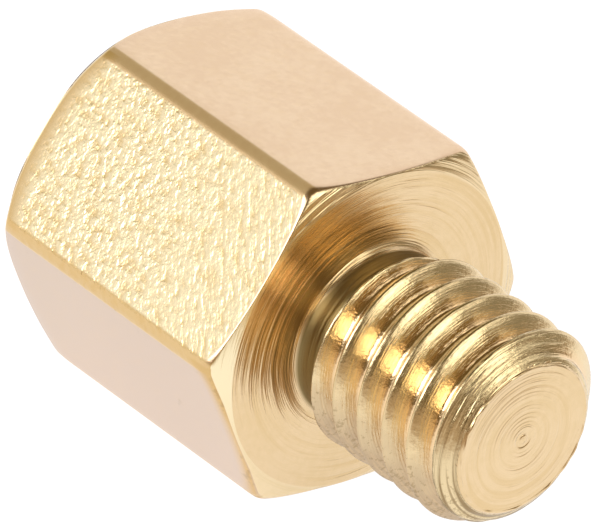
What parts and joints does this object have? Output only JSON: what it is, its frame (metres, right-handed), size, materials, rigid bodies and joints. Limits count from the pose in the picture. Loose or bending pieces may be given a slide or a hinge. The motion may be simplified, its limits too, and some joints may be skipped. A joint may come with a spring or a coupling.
{
  "type": "male-female hex standoff",
  "caption": "Short hexagonal threaded spacer with an undercut threaded stud on one end and a blind tapped hole in the other.",
  "frame": {"origin": "centre of the shoulder, the face of the hexagon that the stud stands on", "axes": "+X along the axis towards the end of the stud; the part lies on the flat that faces -Z, and two corners of the hexagon lie on +Y and -Y"},
  "size_m": [0.0079, 0.0054, 0.0048],
  "materials": {
    "brass": "as-turned ends and thread, as-drawn flats with a fine pitted grain"
  },
  "bodies": {
    "root": {"standoff": "brass"}
  },
  "joints": []
}
